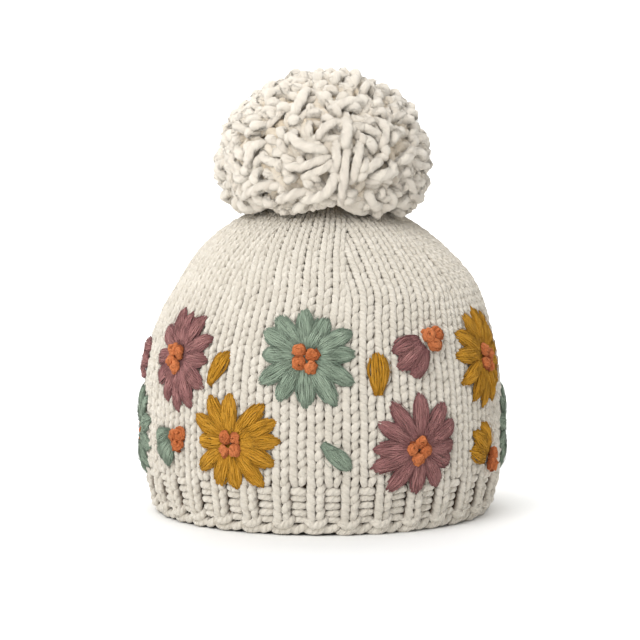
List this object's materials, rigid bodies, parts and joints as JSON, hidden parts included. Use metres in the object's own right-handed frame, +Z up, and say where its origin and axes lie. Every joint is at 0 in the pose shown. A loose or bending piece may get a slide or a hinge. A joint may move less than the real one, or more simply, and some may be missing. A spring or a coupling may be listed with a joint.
{
  "type": "knit toque",
  "caption": "Chunky knitted winter hat with a ribbed rim, a rounded crown, a band of embroidered wool flowers and a loopy yarn pompom.",
  "frame": {"origin": "middle of the cast-on rim, on the surface the hat stands on", "axes": "+Z up through the crown, the embroidered front faces -Y, +X is the wearer's left"},
  "size_m": [0.1717, 0.1761, 0.2002],
  "materials": {
    "cream_yarn": "soft matt chunky wool, natural white",
    "mauve_yarn": "fuzzy matt wool, dusky mauve",
    "sage_yarn": "fuzzy matt wool, sage green",
    "mustard_yarn": "fuzzy matt wool, mustard",
    "orange_yarn": "fuzzy matt wool, burnt orange"
  },
  "bodies": {
    "root": {"knit_body": "cream_yarn", "pompom": "cream_yarn", "flower_01_petals": "mauve_yarn", "flower_01_knots": "orange_yarn", "flower_02_petals": "sage_yarn", "flower_02_knots": "orange_yarn", "flower_03_petals": "mustard_yarn", "flower_03_knots": "orange_yarn", "flower_04_petals": "sage_yarn", "flower_04_knots": "orange_yarn", "flower_05_petals": "mustard_yarn", "flower_05_knots": "orange_yarn", "flower_06_petals": "mauve_yarn", "flower_06_knots": "orange_yarn", "flower_07_petals": "mauve_yarn", "flower_07_knots": "orange_yarn", "flower_08_petals": "sage_yarn", "flower_08_knots": "orange_yarn", "flower_09_petals": "mustard_yarn", "flower_09_knots": "orange_yarn", "flower_10_petals": "sage_yarn", "flower_10_knots": "orange_yarn", "flower_11_petals": "mustard_yarn", "flower_11_knots": "orange_yarn", "flower_12_petals": "mauve_yarn", "flower_12_knots": "orange_yarn", "bud_01_petals": "mauve_yarn", "bud_01_knots": "orange_yarn", "bud_02_petals": "sage_yarn", "bud_02_knots": "orange_yarn", "bud_03_petals": "mustard_yarn", "bud_03_knots": "orange_yarn", "bud_04_petals": "mauve_yarn", "bud_04_knots": "orange_yarn", "bud_05_petals": "mauve_yarn", "bud_05_knots": "orange_yarn", "bud_06_petals": "sage_yarn", "bud_06_knots": "orange_yarn", "bud_07_petals": "mustard_yarn", "bud_07_knots": "orange_yarn", "leaf_01": "mustard_yarn", "leaf_02": "mustard_yarn", "leaf_03": "sage_yarn", "leaf_04": "mustard_yarn", "leaf_05": "mustard_yarn", "leaf_06": "sage_yarn"}
  },
  "joints": []
}
